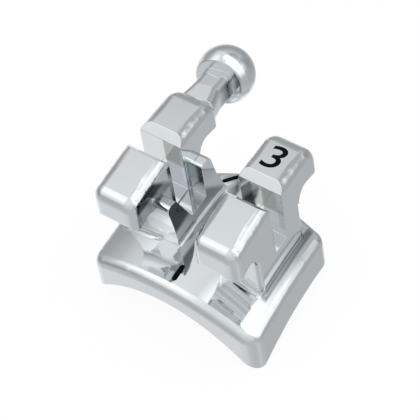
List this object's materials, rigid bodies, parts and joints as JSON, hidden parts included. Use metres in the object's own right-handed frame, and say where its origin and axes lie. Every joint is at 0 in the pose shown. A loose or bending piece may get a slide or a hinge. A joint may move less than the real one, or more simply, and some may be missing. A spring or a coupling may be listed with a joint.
{
  "type": "orthodontic bracket",
  "caption": "Twin tie-wing bracket with a curved bonding pad, a rectangular archwire slot and a ball-ended hook on one wing.",
  "frame": {"origin": "middle of the curved bonding surface, where it meets the tooth", "axes": "+X along the archwire slot towards mesial, +Y towards gingival, where the hook points, +Z away from the tooth"},
  "size_m": [0.0048, 0.0053, 0.0028],
  "materials": {
    "polished_steel": "tumble-polished stainless steel"
  },
  "bodies": {
    "root": {"bracket_body": "polished_steel"}
  },
  "joints": []
}
